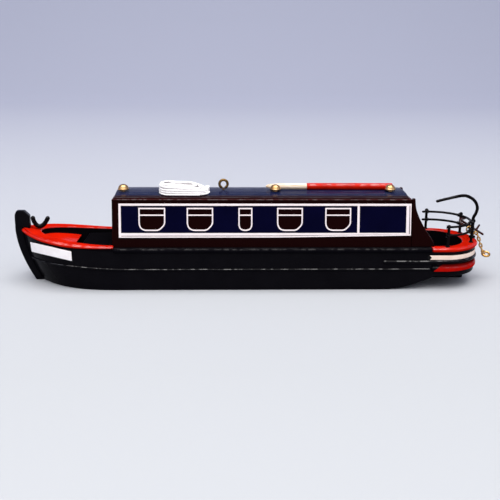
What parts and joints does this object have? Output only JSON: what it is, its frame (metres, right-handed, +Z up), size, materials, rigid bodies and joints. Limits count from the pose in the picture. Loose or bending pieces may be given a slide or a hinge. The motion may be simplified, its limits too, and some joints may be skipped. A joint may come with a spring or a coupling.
{
  "type": "model narrowboat",
  "caption": "Small hand-made wooden display model of a narrowboat with a long cabin, lined panels, wire stern rails, a swinging swan-neck tiller, anchor, chain, pole and rope hank.",
  "frame": {"origin": "On the flat bottom of the hull, on the centreline, 100 mm behind the front of the stem", "axes": "+X to the bow, +Y to port, +Z up"},
  "size_m": [0.2069, 0.0372, 0.0442],
  "materials": {
    "black_enamel": "glossy black enamel over carved wood",
    "red_enamel": "glossy orange red enamel over wood",
    "cream_enamel": "cream enamel lining over wood",
    "navy_enamel": "satin navy enamel over a thin panel",
    "blue_enamel": "glossy dark blue enamel over grooved board",
    "maroon_enamel": "glossy dark maroon enamel over wood",
    "brass": "polished brass",
    "cotton_string": "soft white twisted cotton",
    "bare_pine": "bare rounded pine dowel",
    "anchor_enamel": "dark red brown enamel on wire",
    "black_wire": "glossy black enamel on steel wire"
  },
  "bodies": {
    "boat": {"anchor": "anchor_enamel", "bow_cleat": "black_wire", "bow_deck": "red_enamel", "bow_guard_port": "red_enamel", "bow_guard_starboard": "red_enamel", "bow_locker": "red_enamel", "bow_plate_port": "cream_enamel", "bow_plate_starboard": "cream_enamel", "brass_pin_aft": "brass", "brass_pin_fore": "brass", "brass_pin_middle": "brass", "cabin": "maroon_enamel", "cabin_wing_port": "maroon_enamel", "cabin_wing_starboard": "maroon_enamel", "fore_seat": "black_enamel", "hull": "black_enamel", "lower_guard_port": "black_enamel", "lower_guard_starboard": "black_enamel", "middle_guard": "black_enamel", "panel_frame_port": "cream_enamel", "panel_frame_starboard": "cream_enamel", "pole_handle": "red_enamel", "pole_shaft": "bare_pine", "rail_lower": "black_wire", "rail_post_port": "black_wire", "rail_post_port_quarter": "black_wire", "rail_post_starboard": "black_wire", "rail_post_starboard_quarter": "black_wire", "rail_top": "black_wire", "red_counter_band": "red_enamel", "roof": "blue_enamel", "rope_hank": "cotton_string", "screw_eye": "brass", "side_deck_port": "black_enamel", "side_deck_starboard": "black_enamel", "side_guard_port": "black_enamel", "side_guard_starboard": "black_enamel", "side_panel_port": "navy_enamel", "side_panel_starboard": "navy_enamel", "skeg": "black_enamel", "stem_post": "black_enamel", "stern_chain": "brass", "stern_deck": "red_enamel", "stern_guard": "red_enamel", "tiller_collar": "black_wire", "white_counter_band": "cream_enamel", "window_frame_port_1": "cream_enamel", "window_frame_port_2": "cream_enamel", "window_frame_port_3": "cream_enamel", "window_frame_port_4": "cream_enamel", "window_frame_port_5": "cream_enamel", "window_frame_starboard_1": "cream_enamel", "window_frame_starboard_2": "cream_enamel", "window_frame_starboard_3": "cream_enamel", "window_frame_starboard_4": "cream_enamel", "window_frame_starboard_5": "cream_enamel"},
    "tiller_bar": {"tiller": "black_wire"}
  },
  "joints": [
    {"name": "tiller_swing", "type": "hinge", "parent": "boat", "child": "tiller_bar", "pos_m": [-0.0979, 0, 0.0184], "axis": [0, 0, 1], "range_deg": [-60, 60]}
  ]
}
